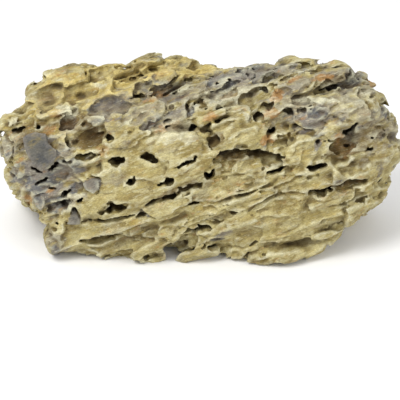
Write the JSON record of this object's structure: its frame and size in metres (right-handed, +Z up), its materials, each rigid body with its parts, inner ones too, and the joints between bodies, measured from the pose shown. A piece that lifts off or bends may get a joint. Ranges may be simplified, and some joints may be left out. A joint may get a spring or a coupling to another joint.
{
  "type": "dragon stone",
  "caption": "Long block of pitted, bedded clay rock with leaf-shaped hollows, flat slates and dark holes, lying on a flat underside; a landscape stone for an aquarium or terrarium.",
  "frame": {"origin": "centre of the stone's bounding box on the face it rests on", "axes": "+X along the stone, +Y from its front to its back, +Z up"},
  "size_m": [0.2923, 0.1397, 0.1377],
  "materials": {
    "stone": "dry weathered clay rock, rough and matt, khaki to ochre with grey clay in its hollows"
  },
  "bodies": {
    "root": {"dragon_stone": "stone"}
  },
  "joints": []
}
